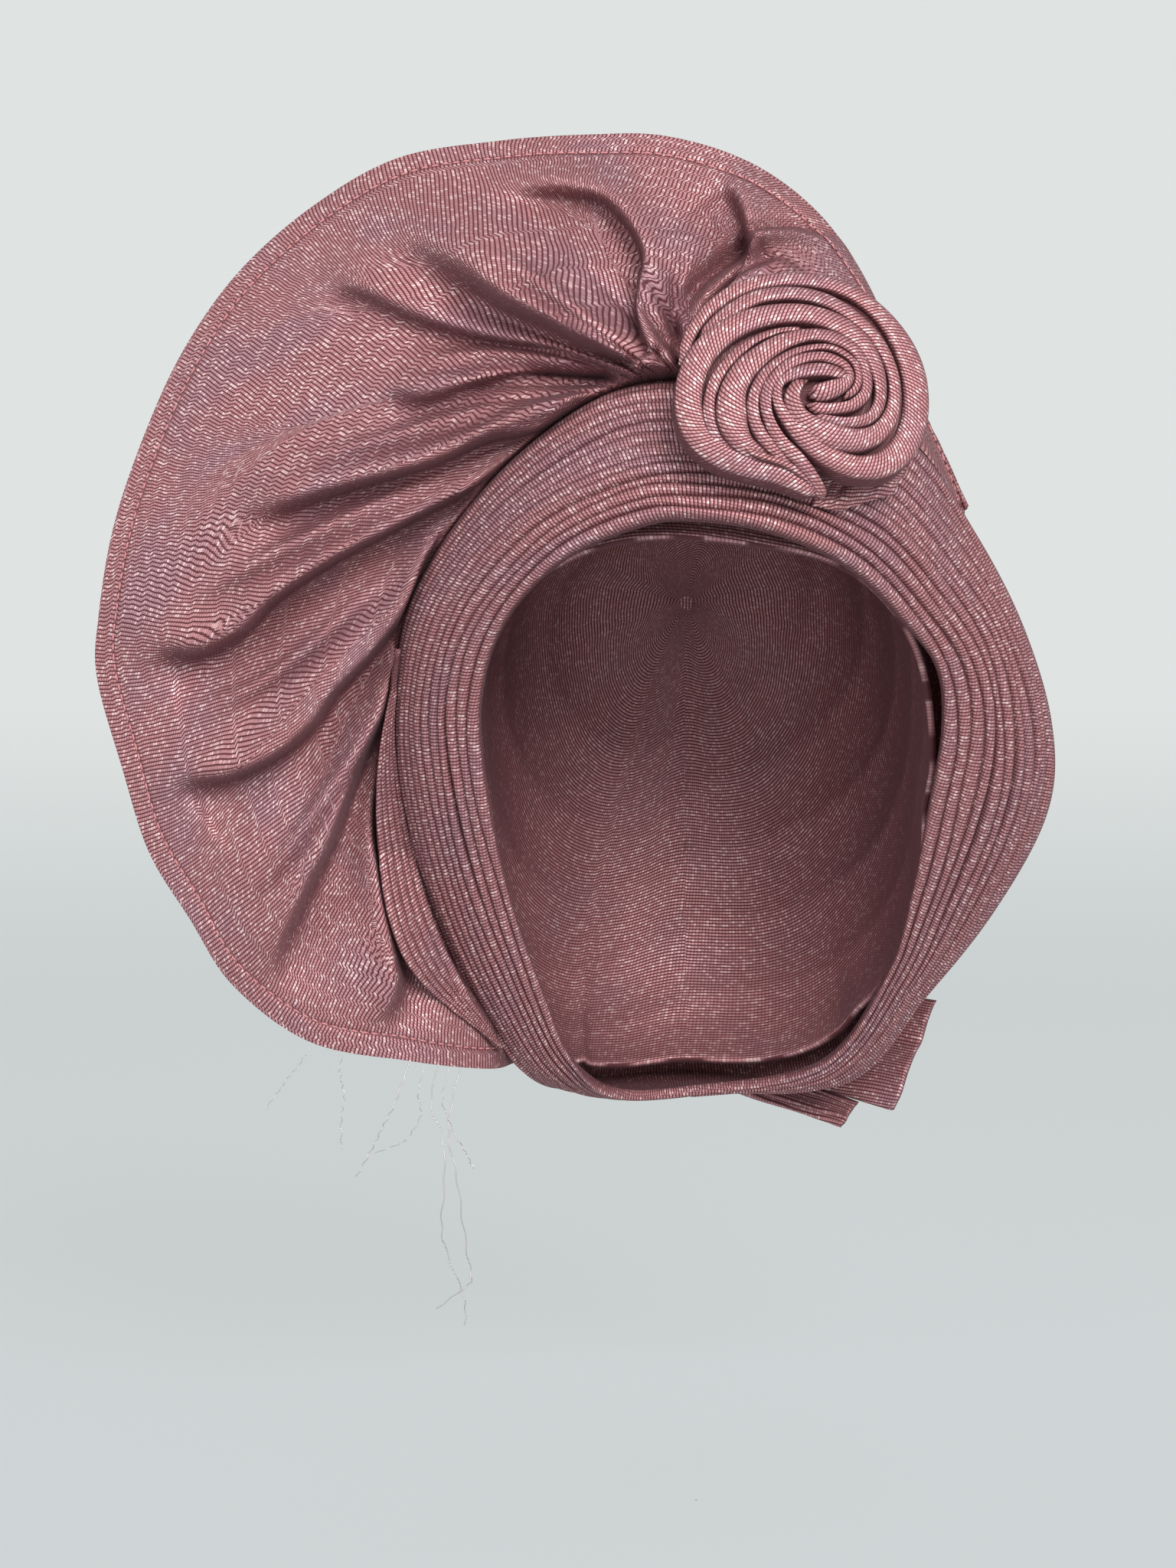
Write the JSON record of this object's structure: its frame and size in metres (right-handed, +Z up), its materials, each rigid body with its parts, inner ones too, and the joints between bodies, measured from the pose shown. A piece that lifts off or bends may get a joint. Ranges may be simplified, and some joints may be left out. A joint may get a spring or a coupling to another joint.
{
  "type": "turban head wrap",
  "caption": "Turban head wrap of woven cloth with a pleated band round the face, a wide pleated fan, a spiral rosette over the brow and ends tied at the nape.",
  "frame": {"origin": "middle of the head where the wrap grips it, at the height of the temples", "axes": "the wearer faces -Y, +X is the wearer's left and +Z is up"},
  "size_m": [0.3252, 0.2263, 0.3945],
  "materials": {
    "rose_cloth": "ribbed, woven with metallic yarn",
    "rose_cloth_light": "ribbed, woven with metallic yarn",
    "rose_cloth_shaded": "ribbed, woven with metallic yarn",
    "silver_yarn": "metallic yarn"
  },
  "bodies": {
    "root": {"crown_wrap": "rose_cloth_shaded", "pleated_band": "rose_cloth", "fan": "rose_cloth", "rosette": "rose_cloth_light", "rosette_end": "rose_cloth_light", "nape_knot": "rose_cloth", "outer_tail": "rose_cloth", "inner_tail": "rose_cloth_shaded", "long_thread": "silver_yarn", "middle_thread": "silver_yarn", "side_thread": "silver_yarn"}
  },
  "joints": []
}
